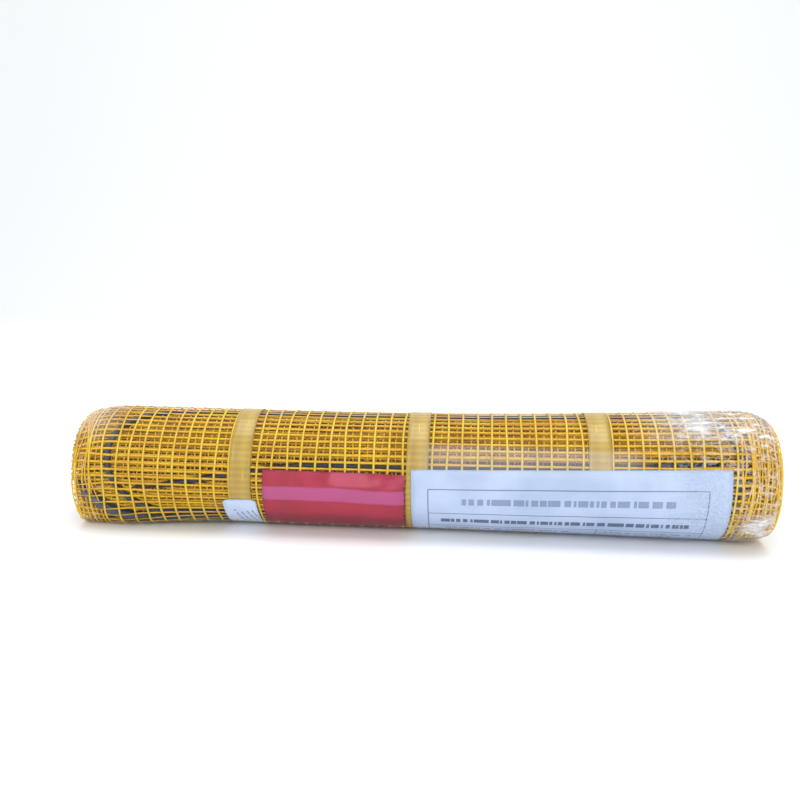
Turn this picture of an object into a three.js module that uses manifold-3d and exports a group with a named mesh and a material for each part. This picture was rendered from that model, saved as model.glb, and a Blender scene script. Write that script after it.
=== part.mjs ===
// An underfloor heating mat as it is sold: a strip of glass-fibre mesh that carries a heating cable, rolled
// up, with its paper cards laid on the roll and clear shrink film round the whole.
// Millimetres. X runs along the roll, -Y is its front and +Z is up. The origin is on the floor under the
// middle of the roll. Angles round the roll are in degrees: 0 is the front, 90 the top, -90 the underside.
import * as THREE from "three";
import { mergeVertices } from "three/addons/utils/BufferGeometryUtils.js";
import Module from "manifold-3d";

// The roll. The mesh is 500 wide, and the film draws its two edges inwards.
const rollLength = 486;
const rollRadius = 42;
const boreRadius = 13;
const turnsOnEnd = 6;
const turnGrooveDepth = 2.2;

// The roll is looser towards its right end, so its radius grows along its length. The turns are slack at a
// waist left of the middle and stand fuller at a swell on the right: each has a place, a height and a reach.
const looseness = 0.0098;
const waist = { x: -25, height: -1.3, reach: 75 };
const swell = { x: 150, height: 1, reach: 60 };
const settle = 1.3;

// The film rounds off both ends, more at the top than underneath.
const leftTaperLength = 42;
const leftTaperRadius = 3.5;
const leftTaperLift = 1;
const rightTaperLength = 24;
const rightTaperRadius = 5.2;
const rightTaperLift = 2.5;
const segmentsRound = 40;

// Bands of yellow tape that hold the roll shut, a quarter of the roll's length apart.
const tapeWidth = 16;
const tapeThickness = 0.3;
const tapeBase = 0.75;
const middleTapeX = 3;
const tapePitch = rollLength / 4 + 1;

// The paper cards lie over the tapes and bend round the roll from their top edges down.
const paperThickness = 0.3;
const paperBase = 1.4;
const cardGap = 4;
const cardGapX = middleTapeX - 7.5;
const controlCardWidth = 210;
const controlCardHeight = 148;
const controlCardTop = 17;
const controlCardTilt = 0.3;
const cautionCardWidth = 98;
const cautionCardHeight = 148;
const cautionCardTop = 10.5;
const cautionCardTilt = -0.3;
const labelWidth = 22.5;
const labelHeight = 40;
const labelToCard = 3.75;
const labelTop = -22;
const labelTilt = 2.5;

// Clear shrink film, open at both ends round the bore.
const filmBase = 2.15;
const filmThickness = 0.3;
const filmOverhang = 5;
const filmHoleRadius = 19;

// Heating cable: straight legs along the roll, joined by half-round turns inside the mesh's edges.
const cableDiameter = 4;
const cableDepth = 1.8;
const cableMargin = 30;
const cableTurnReach = 44;
const startLegAngle = 81;
const lowerLegAngle = -41;
const backLegAngle = -159;
const topLegAngle = -271;
const frontLegAngle = -393;
const cableDipDepth = 9.3;

// Supply lead: out of the bore at the left end, over the rim and along the lower front.
const leadDiameter = 7;
const leadDepth = 3.3;
const leadRunAngle = -60;
const fitGap = 0.35;

const filmRadius = rollRadius + filmBase + filmThickness;
const rollEnd = rollLength / 2;
const filmEnd = rollEnd + filmOverhang;
const cableTurnX = rollEnd - cableMargin - cableTurnReach;
const controlCardX = cardGapX + (cardGap + controlCardWidth) / 2;
const cautionCardX = cardGapX - (cardGap + cautionCardWidth) / 2;
const labelX = cautionCardX - (cautionCardWidth + labelWidth) / 2 - labelToCard;
const leadBase = rollRadius - leadDepth;
const radians = THREE.MathUtils.degToRad;

// Places along the roll where its sections are drawn, from end to end.
const cornerRound = 2;
const stationShares = [-0.93, -0.85, -0.7, -0.42, -0.21, 0, 0.21, 0.42, 0.56, 0.7, 0.85, 0.9, 0.96];
const bodyStations = stationShares.map((share) => share * rollEnd);

/** How far a place has come along a slope that starts at `from` and ends at `to`, 0 to 1. */
const along = (value, from, to) => THREE.MathUtils.clamp((value - from) / (to - from), 0, 1);

/** How much nearer the axis a flat facet of the roll is at an angle than its edges are. */
function facetShare(angle) {
  const facet = 360 / segmentsRound;
  const fromMiddle = angle - facet * Math.round(angle / facet);
  return Math.cos(radians(facet / 2)) / Math.cos(radians(fromMiddle));
}

/** How much a waist or swell adds to the radius at a place along the roll: a bell curve about its middle. */
const bell = (x, form) => form.height * Math.exp(-(((x - form.x) / form.reach) ** 2));

/** A point of the settled roll: its place along the roll, its angle round it, its radius before settling. */
function place(x, angle, radius) {
  const left = along(x, -rollEnd + leftTaperLength, -rollEnd) ** 3;
  const right = along(x, rollEnd - rightTaperLength, rollEnd) ** 3;
  const body = filmRadius + looseness * x + bell(x, waist) + bell(x, swell);
  const outer = body - leftTaperRadius * left - rightTaperRadius * right;
  const lift = leftTaperLift * left + rightTaperLift * right;
  const scaled = (outer * radius) / filmRadius;
  const reach = scaled * facetShare(angle);
  const height = outer - settle + lift + reach * Math.sin(radians(angle));
  const lowest = outer - scaled + lift;
  return new THREE.Vector3(x, -reach * Math.cos(radians(angle)), Math.max(height, lowest));
}

/** Keeps a geometry's positions only, and joins the vertices that meet. */
function closed(geometry) {
  geometry.deleteAttribute("uv");
  geometry.deleteAttribute("normal");
  return mergeVertices(geometry, 0.0005);
}

/** Moves every vertex of a geometry to where `move` takes it. */
function reshape(geometry, move) {
  const at = geometry.attributes.position;
  const point = new THREE.Vector3();
  for (let i = 0; i < at.count; i += 1) {
    point.fromBufferAttribute(at, i);
    point.copy(move(point));
    at.setXYZ(i, point.x, point.y, point.z);
  }
  return geometry;
}

/** Turns a closed outline of [x, radius] points about the roll's axis, and settles it as the roll is. */
function turned(outline) {
  const points = outline.map(([x, radius]) => new THREE.Vector2(radius, x));
  points.push(points[0].clone());
  const half = Math.PI / segmentsRound;
  const lathe = closed(new THREE.LatheGeometry(points, segmentsRound, half - Math.PI / 2));
  return reshape(lathe, (p) => {
    const angle = THREE.MathUtils.radToDeg(Math.atan2(p.x, -p.z));
    return place(p.y, angle, Math.hypot(p.x, p.z));
  });
}

/** The angles at which a sheet bends: its two edges, and the edges of the roll's facets between them. */
function bendAngles(top, bottom) {
  const facet = 360 / segmentsRound;
  const bends = [top];
  for (let edge = facet * (Math.floor(top / facet) + 0.5); edge > bottom + 1; edge -= facet) {
    if (edge < top - 1) bends.push(edge);
  }
  return [...bends, bottom];
}

/** A paper sheet bent round the roll: its middle along the roll, the angle of its top edge and its tilt. */
function laidSheet(width, height, x, top, tilt) {
  const degreesPerMm = THREE.MathUtils.radToDeg(1 / (rollRadius + paperBase));
  const bends = bendAngles(top, top - height * degreesPerMm);
  const rows = bends.length - 1;
  const inside = bodyStations.filter((station) => Math.abs(station - x) < width / 2 - 1);
  const across = [x - width / 2, ...inside, x + width / 2];
  const columns = across.length - 1;
  const flat = closed(new THREE.BoxGeometry(columns, rows, paperThickness, columns, rows, 1));
  return reshape(flat, (p) => {
    const row = Math.round(rows / 2 - p.y);
    const column = Math.round(p.x + columns / 2);
    const atTopOrFoot = row === 0 || row === rows;
    const atSide = column === 0 || column === columns;
    const turn = Math.sin(radians(tilt));
    const angle = bends[row] + (atTopOrFoot ? (across[column] - x) * turn * degreesPerMm : 0);
    const shift = atSide ? ((top - angle) / degreesPerMm) * turn : 0;
    const middleRadius = rollRadius + paperBase + paperThickness / 2;
    return place(across[column] + shift, angle, middleRadius + p.z);
  });
}

/** A route through listed points, with its sections at those points. */
class Route extends THREE.Curve {
  constructor(points) {
    super();
    this.points = points;
  }

  getPointAt(u, target = new THREE.Vector3()) {
    const last = this.points.length - 1;
    const from = Math.min(Math.floor(u * last + 1e-6), last - 1);
    return target.lerpVectors(this.points[from], this.points[from + 1], u * last - from);
  }

  getTangentAt(u, target = new THREE.Vector3()) {
    const last = this.points.length - 1;
    const at = Math.round(u * last);
    const before = this.points[Math.max(at - 1, 0)];
    const after = this.points[Math.min(at + 1, last)];
    return target.subVectors(after, before).normalize();
  }
}

/** A round cord of a given radius along listed points. */
function cord(points, radius, sides) {
  const ring = [];
  for (let i = 0; i < sides; i += 1) {
    const turn = ((i + 0.5) / sides) * 2 * Math.PI;
    ring.push(new THREE.Vector2(radius * Math.cos(turn), radius * Math.sin(turn)));
  }
  const options = { steps: points.length - 1, extrudePath: new Route(points), bevelEnabled: false };
  return closed(new THREE.ExtrudeGeometry(new THREE.Shape(ring), options));
}

/** The same route, made longer at both ends. */
function lengthened(points, more) {
  const last = points.length - 1;
  const start = points[0].clone().sub(points[1]).setLength(more).add(points[0]);
  const end = points[last].clone().sub(points[last - 1]).setLength(more).add(points[last]);
  return [start, ...points.slice(1, last), end];
}

/** A half-round turn of the cable between two legs; side is 1 at the right end and -1 at the left. */
function cableTurn(side, fromAngle, toAngle, depthAt) {
  const stations = [];
  for (let turn = 10; turn < 180; turn += 10) {
    const middle = (fromAngle + toAngle) / 2;
    const angle = middle + ((fromAngle - toAngle) / 2) * Math.cos(radians(turn));
    const x = side * (cableTurnX + cableTurnReach * Math.sin(radians(turn)));
    stations.push([x, angle, depthAt(turn)]);
  }
  return stations;
}

const atDepth = () => cableDepth;

/** Under the lead the cable dips into the roll, and comes up again beyond it. */
function dipDepth(turn) {
  const rise = along(turn, 60, 120);
  return cableDipDepth + (cableDepth - cableDipDepth) * rise * rise * (3 - 2 * rise);
}

/** Where a hidden end of the cable dips into the roll, from its end to where the leg runs level. */
function tuckedEnd(x, side, angle) {
  const dip = 3 * cableDiameter;
  const tucked = cableDepth + 1.4 * cableDiameter;
  const easing = cableDepth + 0.4 * cableDiameter;
  return [[x, angle, tucked], [x - side * dip, angle, easing], [x - side * 2 * dip, angle, cableDepth]];
}

const startX = -cableTurnX + 17;
const dipStartX = -cableTurnX + 57;
const cableStations = [
  ...tuckedEnd(startX, -1, startLegAngle),
  [0, startLegAngle, cableDepth],
  [cableTurnX, startLegAngle, cableDepth],
  ...cableTurn(1, startLegAngle, lowerLegAngle, atDepth),
  [cableTurnX, lowerLegAngle, cableDepth],
  [0, lowerLegAngle, cableDepth],
  [dipStartX, lowerLegAngle, cableDepth],
  [dipStartX - 20, lowerLegAngle, 3.6],
  [dipStartX - 40, lowerLegAngle, 7.6],
  [-cableTurnX, lowerLegAngle, cableDipDepth],
  ...cableTurn(-1, lowerLegAngle, backLegAngle, dipDepth),
  [-cableTurnX, backLegAngle, cableDepth],
  [0, backLegAngle, cableDepth],
  [cableTurnX, backLegAngle, cableDepth],
  ...cableTurn(1, backLegAngle, topLegAngle, atDepth),
  [cableTurnX, topLegAngle, cableDepth],
  [0, topLegAngle, cableDepth],
  [-cableTurnX, topLegAngle, cableDepth],
  ...cableTurn(-1, topLegAngle, frontLegAngle, atDepth),
  [-cableTurnX, frontLegAngle, cableDepth],
  [0, frontLegAngle, cableDepth],
  ...tuckedEnd(cableTurnX, 1, frontLegAngle).reverse(),
];
const cableRoute = cableStations.map(([x, angle, depth]) => place(x, angle, rollRadius - depth));

// The lead's bends are smooth curves through these places, given from the roll's left end.
const leadInBore = boreRadius / 2;
const leadPlaces = [
  [47, -10, leadInBore],
  [29, -10, leadInBore],
  [15, -10, leadInBore + 0.3],
  [2.5, -8, boreRadius + 0.5],
  [-1, -7, 0.6 * rollRadius],
  [1, -10, leadBase - 3.2],
  [9, -16, leadBase],
  [22, -31, leadBase],
  [42, -43.5, leadBase],
  [60, -51, leadBase],
  [77, -57, leadBase],
  [98, leadRunAngle, leadBase],
].map(([fromEnd, angle, radius]) => place(fromEnd - rollEnd, angle, radius));
const leadTuckX = 40;
const leadRoute = [
  ...new THREE.CatmullRomCurve3(leadPlaces, false, "centripetal").getPoints(44),
  place(-60, leadRunAngle, leadBase),
  place(leadTuckX, leadRunAngle, leadBase),
  place(leadTuckX + 18, leadRunAngle, leadBase - 0.9),
  place(leadTuckX + 36, leadRunAngle, leadBase - 3.7),
  place(leadTuckX + 52, leadRunAngle, leadBase - 8.7),
];

/** The roll's outline: its side, and on each end the ridges of its turns. */
function rollOutline() {
  const shoulder = rollEnd - cornerRound;
  const side = [-shoulder, ...bodyStations, shoulder].map((x) => [x, rollRadius]);
  const pitch = (rollRadius - boreRadius) / turnsOnEnd;
  const right = [];
  for (let turn = 0; turn < turnsOnEnd; turn += 1) {
    const outer = rollRadius - turn * pitch;
    right.push([rollEnd, outer - pitch * 0.3], [rollEnd, outer - pitch * 0.7]);
    right.push([rollEnd - turnGrooveDepth, outer - pitch]);
  }
  const left = right.map(([x, radius]) => [-x, radius]).reverse();
  return [...side, ...right, ...left];
}

/** The film's outline: its outer face from the left hole to the right one, and back along its inner face. */
function filmOutline() {
  const outer = filmRadius;
  const inner = filmRadius - filmThickness;
  const outerEnd = [[0, filmHoleRadius], [0, outer - 7.5], [1.6, outer - 2.8], [6, outer]];
  const innerEnd = [[0.3, filmHoleRadius], [0.3, outer - 7.6], [1.8, outer - 3.1], [6.1, inner]];
  const atLeft = (points) => points.map(([inset, radius]) => [inset - filmEnd, radius]);
  const atRight = (points) => points.map(([inset, radius]) => [filmEnd - inset, radius]).reverse();
  const outside = [...atLeft(outerEnd), ...bodyStations.map((x) => [x, outer]), ...atRight(outerEnd)];
  const inside = [...atLeft(innerEnd), ...bodyStations.map((x) => [x, inner]), ...atRight(innerEnd)];
  return [...outside, ...inside.reverse()];
}

/** A band of tape round the roll. */
function tapeBand(x) {
  const inner = rollRadius + tapeBase;
  const outer = inner + tapeThickness;
  const [left, right] = [x - tapeWidth / 2, x + tapeWidth / 2];
  return turned([[left, outer], [right, outer], [right, inner], [left, inner]]);
}

const manifold = await Module();
manifold.setup();

/** A three.js geometry as a solid for cutting. */
function solidOf(geometry) {
  const vertProperties = new Float32Array(geometry.attributes.position.array);
  const triVerts = new Uint32Array(geometry.index.array);
  const mesh = new manifold.Mesh({ numProp: 3, vertProperties, triVerts });
  mesh.merge();
  return new manifold.Manifold(mesh);
}

/** A cut solid as a three.js geometry. */
function geometryOf(solid) {
  const mesh = solid.getMesh();
  const geometry = new THREE.BufferGeometry();
  const flat = new Float32Array(mesh.numVert * 3);
  for (let i = 0; i < mesh.numVert; i += 1) {
    for (let axis = 0; axis < 3; axis += 1) flat[i * 3 + axis] = mesh.vertProperties[i * mesh.numProp + axis];
  }
  geometry.setAttribute("position", new THREE.BufferAttribute(flat, 3));
  geometry.setIndex(new THREE.BufferAttribute(new Uint32Array(mesh.triVerts), 1));
  return geometry;
}

const cableBed = solidOf(cord(lengthened(cableRoute, 0.6), cableDiameter / 2 + fitGap, 8));
const leadBed = solidOf(cord(lengthened(leadRoute, 0.6), leadDiameter / 2 + fitGap, 8));
const roll = solidOf(turned(rollOutline())).subtract(cableBed).subtract(leadBed);

const yellowMesh = new THREE.MeshStandardMaterial({ color: 0xd7b42d, roughness: 0.6 });
const navyCable = new THREE.MeshStandardMaterial({ color: 0x1b1f30, roughness: 0.45 });
const blackLead = new THREE.MeshStandardMaterial({ color: 0x14161c, roughness: 0.35 });
const yellowTape = new THREE.MeshStandardMaterial({ color: 0xdcb85c, roughness: 0.4 });
const whitePaper = new THREE.MeshStandardMaterial({ color: 0xd4def0, roughness: 0.6 });
const redPaper = new THREE.MeshStandardMaterial({ color: 0xb8324b, roughness: 0.6 });
const clearFilm = new THREE.MeshStandardMaterial({ color: 0xe8f0f4, roughness: 0.15, opacity: 0.3 });
clearFilm.transparent = true;

const part = new THREE.Group();

/** Puts one named piece into the part. */
function add(name, geometry, material) {
  const piece = new THREE.Mesh(geometry, material);
  piece.name = name;
  part.add(piece);
}

add("mat_roll", geometryOf(roll), yellowMesh);
add("heating_cable", cord(cableRoute, cableDiameter / 2, 8), navyCable);
add("supply_lead", cord(leadRoute, leadDiameter / 2, 8), blackLead);
add("tape_left", tapeBand(middleTapeX - tapePitch), yellowTape);
add("tape_middle", tapeBand(middleTapeX), yellowTape);
add("tape_right", tapeBand(middleTapeX + tapePitch), yellowTape);
add("control_card", laidSheet(controlCardWidth, controlCardHeight, controlCardX, controlCardTop,
  controlCardTilt), whitePaper);
add("caution_card", laidSheet(cautionCardWidth, cautionCardHeight, cautionCardX, cautionCardTop,
  cautionCardTilt), redPaper);
add("cable_label", laidSheet(labelWidth, labelHeight, labelX, labelTop, labelTilt), whitePaper);
add("shrink_film", turned(filmOutline()), clearFilm);

export default part;
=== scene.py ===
"""Looks of a rolled-up underfloor heating mat, as it lies shrink-wrapped with its paper cards.

Metres. X runs along the roll, -Y is its front and +Z is up. Angles round the roll are in degrees, 0 at the
front and 90 on top, and depths are measured inwards from the outer face of the film.
"""

import bpy
import numpy as np
from mathutils import Matrix


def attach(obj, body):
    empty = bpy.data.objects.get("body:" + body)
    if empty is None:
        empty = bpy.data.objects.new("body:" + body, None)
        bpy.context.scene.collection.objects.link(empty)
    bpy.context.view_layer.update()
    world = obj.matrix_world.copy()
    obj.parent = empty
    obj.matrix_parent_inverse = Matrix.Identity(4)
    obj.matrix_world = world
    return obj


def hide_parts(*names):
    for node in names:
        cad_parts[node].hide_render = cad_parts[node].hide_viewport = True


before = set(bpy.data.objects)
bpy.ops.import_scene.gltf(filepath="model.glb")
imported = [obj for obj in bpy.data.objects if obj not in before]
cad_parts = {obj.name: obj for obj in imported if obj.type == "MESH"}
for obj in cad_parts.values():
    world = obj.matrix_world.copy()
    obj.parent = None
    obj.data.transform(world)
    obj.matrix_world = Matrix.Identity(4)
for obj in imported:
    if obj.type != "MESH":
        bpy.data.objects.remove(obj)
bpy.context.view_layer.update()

# Camera, floor and lights.
# The roll is seen from a little above and from right of its middle, close enough for its right end to look
# larger. It lies on a plain white floor that curves up behind it, under large soft lamps.
camera_place = np.array([0.0325, -0.6001, 0.2160])
camera_yaw, camera_pitch, camera_roll = np.radians([-4.39, 11.67, 0.69])
camera_focal = 863.6 / 800 * 36

ahead = np.array([
    np.sin(camera_yaw) * np.cos(camera_pitch),
    np.cos(camera_yaw) * np.cos(camera_pitch),
    -np.sin(camera_pitch),
])
level = np.array([np.cos(camera_yaw), -np.sin(camera_yaw), 0.0])
upward = np.cross(level, ahead)
right = np.cos(camera_roll) * level + np.sin(camera_roll) * upward
upward = -np.sin(camera_roll) * level + np.cos(camera_roll) * upward

camera_data = bpy.data.cameras.new("camera")
camera_data.lens = camera_focal
camera_data.sensor_width = 36
camera_data.clip_start = 0.01
camera = bpy.data.objects.new("camera", camera_data)
camera.matrix_world = Matrix.Translation(camera_place) @ Matrix(
    np.column_stack([right, upward, -ahead]).tolist()
).to_4x4()
bpy.context.scene.collection.objects.link(camera)
bpy.context.scene.camera = camera
bpy.context.scene.view_settings.view_transform = "Standard"


def surface(name, points, faces, material, uv=None):
    """A mesh object from arrays of points and quads; uv gives each point's place on the object's own map."""
    mesh = bpy.data.meshes.new(name)
    mesh.from_pydata(points.reshape(-1, 3), [], faces.reshape(-1, 4).tolist())
    mesh.polygons.foreach_set("use_smooth", np.full(len(mesh.polygons), True))
    if uv is not None:
        corners = np.empty(len(mesh.loops), dtype=np.int32)
        mesh.loops.foreach_get("vertex_index", corners)
        mesh.uv_layers.new(name="UVMap").uv.foreach_set("vector", uv.reshape(-1, 2)[corners].ravel())
    mesh.materials.append(material)
    mesh.update()
    made = bpy.data.objects.new(name, mesh)
    bpy.context.scene.collection.objects.link(made)
    return made


def grid_faces(rows, columns, wrap_rows=False, wrap_columns=False):
    """The quads of a grid of points; where it wraps, the last row or column joins the first."""
    index = np.arange(rows * columns).reshape(rows, columns)
    if wrap_rows:
        index = np.vstack([index, index[:1]])
    if wrap_columns:
        index = np.hstack([index, index[:, :1]])
    return np.stack([index[:-1, :-1], index[1:, :-1], index[1:, 1:], index[:-1, 1:]], axis=-1)


def finish_named(name, settings):
    """A new material, and its Principled shader with the settings that are the same all over."""
    material = bpy.data.materials.new(name)
    material.use_nodes = True
    shader = material.node_tree.nodes["Principled BSDF"]
    for key, value in settings.items():
        shader.inputs[key].default_value = (*value, 1) if isinstance(value, tuple) else value
    return material, shader


floor_finish, _ = finish_named("studio_floor", {
    "Base Color": (0.93, 0.93, 0.92), "Roughness": 0.6, "Specular IOR Level": 0.3,
})
sweep_x = np.array([-4.0, 4.0])
sweep_turn = np.radians(np.linspace(0, 90, 25))
sweep_y = np.concatenate([[-4.0, -1.0, 0.0], 1.2 + 0.8 * np.sin(sweep_turn), [2.0]])
sweep_z = np.concatenate([[0.0, 0.0, 0.0], 0.8 - 0.8 * np.cos(sweep_turn), [3.5]])
sweep = np.stack([
    np.tile(sweep_x, (len(sweep_y), 1)),
    np.tile(sweep_y[:, None], (1, 2)),
    np.tile(sweep_z[:, None] - 0.0002, (1, 2)),
], axis=-1)
floor = surface("floor", sweep, grid_faces(len(sweep_y), 2)[..., ::-1], floor_finish)

world = bpy.data.worlds.new("studio")
world.use_nodes = True
world.node_tree.nodes["Background"].inputs[0].default_value = (0.93, 0.96, 1.0, 1)
world.node_tree.nodes["Background"].inputs[1].default_value = 0.85
bpy.context.scene.world = world

lamps = {
    "overhead": ((0.1, 0.1, 1.5), (0, 0, 0.04), (1.8, 1.0), 16, (0.96, 0.98, 1.0)),
    "front_left": ((-1.2, -1.3, 1.0), (0, 0, 0.04), (1.0, 1.0), 9, (1.0, 0.98, 0.95)),
    "front_right": ((1.1, -1.4, 0.8), (0, 0, 0.04), (0.9, 0.9), 7, (0.94, 0.97, 1.0)),
}
for lamp_name, (place, aim, size, power, colour) in lamps.items():
    lamp_data = bpy.data.lights.new(lamp_name, "AREA")
    lamp_data.shape = "RECTANGLE"
    lamp_data.size, lamp_data.size_y = size
    lamp_data.energy = power
    lamp_data.color = colour
    lamp = bpy.data.objects.new(lamp_name, lamp_data)
    away = np.array(place) - np.array(aim)
    away = away / np.linalg.norm(away)
    side = np.cross([0.0, 1.0, 0.0], away)
    side = side / np.linalg.norm(side)
    lamp.matrix_world = Matrix.Translation(place) @ Matrix(
        np.column_stack([side, np.cross(away, side), away]).tolist()
    ).to_4x4()
    bpy.context.scene.collection.objects.link(lamp)

# Heating cable.
# A twin-core heating cable 4 mm across in a navy sheath. It runs to and fro along the roll in straight legs
# that half-round turns join near the edges of the mesh, and the film holds it against the turns below.
mean_radius = 0.0443
roll_end = 0.242
looseness = 0.0088
waist_depth = 0.0020
settle = 0.0013
floor_clearance = 0.00005
cable_radius = 0.002
cable_depth = 0.0042
cable_margin = 0.030
cable_turn_space = 0.044
cable_turn_x = roll_end - cable_margin - cable_turn_space
cable_turn_reach = 0.048
buried_depth = 0.01175


def settled(x, angle, depth):
    """Points of the roll at places along it, angles round it and depths under the film.

    The radius is a mean plus a small share of x, less a parabola that is deepest at the middle, and less the
    cube of the way into each end. Near the left end the lower front slumps outwards, in a bell curve of the
    angle, and two small products of sines leave the roll slack all over. The roll sinks a little into the
    floor, where a soft maximum of the circle and a level line keeps each layer above the one outside it.
    """
    x, angle, depth = np.broadcast_arrays(x, angle, depth)
    left = np.clip((-0.200 - x) / 0.042, 0, 1.2) ** 3
    right = np.clip((x - 0.218) / 0.024, 0, 1.2) ** 3
    waist = waist_depth * np.maximum(1 - (x / roll_end) ** 2, 0)
    outer = mean_radius + looseness * x - waist - 0.0035 * left - 0.0052 * right
    lift = 0.0010 * left + 0.0025 * right
    turn = np.radians(angle)
    from_slump = angle + 54 + 360 * (angle < -234)
    slump = 0.0068 * np.clip((-0.135 - x) / 0.075, 0, 1) ** 1.5 * np.exp(-((from_slump / 25) ** 2))
    slack = slump + 0.0002 * np.sin(21 * x + 2.3 * turn)
    slack = slack + 0.00015 * np.sin(57 * x - turn) * np.sin(3 * turn + 1)
    reach = outer * (1 - depth / mean_radius) + slack * (np.abs(x) < 0.25)
    height = outer - settle + lift + reach * np.sin(turn)
    lowest = np.maximum(outer - reach + lift, 0) + floor_clearance
    eased = 0.5 * (height + lowest + np.sqrt((height - lowest) ** 2 + 0.0006 ** 2))
    return np.stack([x, -reach * np.cos(turn), np.where(height > lowest + 0.004, height, eased)], axis=-1)


def eased_route(stations, step=0.0012, ease=0.006):
    """A route of x, angle and depth through stations: the broken line between them at even steps, each value
    averaged over its neighbours with the weights of a bell curve."""
    stations = np.array(stations, dtype=float)
    arc = np.radians(stations[:, 1]) * (mean_radius - stations[:, 2])
    hops = np.hypot(np.diff(stations[:, 0]), np.diff(arc))
    hops = np.hypot(hops, np.diff(stations[:, 2]))
    run = np.concatenate([[0], np.cumsum(hops)])
    even = np.arange(0, run[-1], step)
    route = np.stack([np.interp(even, run, stations[:, k]) for k in range(3)], axis=-1)
    reach = int(3 * ease / step)
    weights = np.exp(-0.5 * (np.arange(-reach, reach + 1) * step / ease) ** 2)
    padded = np.concatenate([
        2 * route[:1] - route[reach:0:-1], route, 2 * route[-1:] - route[-2:-reach - 2:-1],
    ])
    return np.stack([np.convolve(padded[:, k], weights / weights.sum(), "valid") for k in range(3)], axis=-1)


def tube(path, radius, sides, reference):
    """A round tube along a path: a ring of points at each place of it, square to the way the path goes,
    with the reference direction setting where each ring starts; its two ends close in a dome of two rings."""
    way = np.gradient(path, axis=0)
    way /= np.linalg.norm(way, axis=1, keepdims=True)
    across = reference - (reference * way).sum(1, keepdims=True) * way
    across /= np.linalg.norm(across, axis=1, keepdims=True)
    other = np.cross(way, across)
    size = np.full(len(path), radius)
    path = np.concatenate([path[:1] - way[:1] * radius * 0.55, path[:1] - way[:1] * radius * 0.4, path,
                           path[-1:] + way[-1:] * radius * 0.4, path[-1:] + way[-1:] * radius * 0.55])
    size = np.concatenate([[radius * 0.02, radius * 0.8], size, [radius * 0.8, radius * 0.02]])
    across = np.concatenate([across[:1], across[:1], across, across[-1:], across[-1:]])
    other = np.concatenate([other[:1], other[:1], other, other[-1:], other[-1:]])
    turn = np.linspace(0, 2 * np.pi, sides, endpoint=False)
    ring = np.cos(turn)[None, :, None] * across[:, None] + np.sin(turn)[None, :, None] * other[:, None]
    run = np.concatenate([[0], np.cumsum(np.linalg.norm(np.diff(path, axis=0), axis=1))])
    uv = np.stack(np.broadcast_arrays(run[:, None], turn[None, :] * radius), axis=-1)
    return path[:, None] + size[:, None, None] * ring, uv


def outward(angle):
    """The direction away from the roll's axis at each angle."""
    turn = np.radians(angle)
    return np.stack([np.zeros_like(turn), -np.cos(turn), np.sin(turn)], axis=-1)


def half_turn(side, from_angle, to_angle, depths):
    """A half-round turn between two legs: the angle follows a cosine, and x a sine, of the way round."""
    way = np.radians(np.arange(10, 180, 10))
    angle = (from_angle + to_angle) / 2 + (from_angle - to_angle) / 2 * np.cos(way)
    x = side * (cable_turn_x + cable_turn_reach * np.sin(way))
    return np.stack([x, angle, np.broadcast_to(depths, way.shape)], axis=-1).tolist()


def leg(angle, direction, depth=cable_depth):
    """A straight leg between the places where its half-round turns start."""
    return [[direction * x, angle, depth] for x in (-cable_turn_x, -0.08, 0.0, 0.08, cable_turn_x)]


start_leg, lower_leg, back_leg, top_leg, front_leg = 93.4, -52, -159, -273.5, -405
dip = np.clip((np.arange(10, 180, 10) - 60) / 60, 0, 1)
dip_depths = buried_depth + (cable_depth - buried_depth) * dip * dip * (3 - 2 * dip)
cable_route = eased_route([
    [-cable_turn_x + 0.017, start_leg, cable_depth + 0.0056],
    [-cable_turn_x + 0.029, start_leg, cable_depth + 0.0016],
    *leg(start_leg, 1)[1:],
    *half_turn(1, start_leg, lower_leg, cable_depth),
    [cable_turn_x, lower_leg, cable_depth],
    [0.0, lower_leg, cable_depth],
    [-cable_turn_x + 0.057, lower_leg, cable_depth],
    [-cable_turn_x + 0.037, lower_leg, cable_depth + 0.0018],
    [-cable_turn_x + 0.017, lower_leg, cable_depth + 0.0058],
    [-cable_turn_x, lower_leg, buried_depth],
    *half_turn(-1, lower_leg, back_leg, dip_depths),
    *leg(back_leg, 1),
    *half_turn(1, back_leg, top_leg, cable_depth),
    *leg(top_leg, -1),
    *half_turn(-1, top_leg, front_leg, cable_depth),
    *leg(front_leg, 1)[:-1],
    [cable_turn_x - 0.024, front_leg, cable_depth],
    [cable_turn_x - 0.012, front_leg, cable_depth + 0.0016],
    [cable_turn_x, front_leg, cable_depth + 0.0056],
])
inner_route = eased_route([
    [-0.196, -15, 0.0096], [-0.180, -12, 0.0072], [-0.157, -4.5, 0.0068], [-0.132, 3, 0.0066],
    [-0.114, 9.5, 0.0066], [-0.079, 17, 0.0068], [-0.028, 17, 0.0066], [0.010, 19, 0.0066],
    [0.098, 20, 0.0068], [0.156, 22, 0.0066], [0.194, 27, 0.0068], [0.208, 30, 0.0090],
], ease=0.010)


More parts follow.
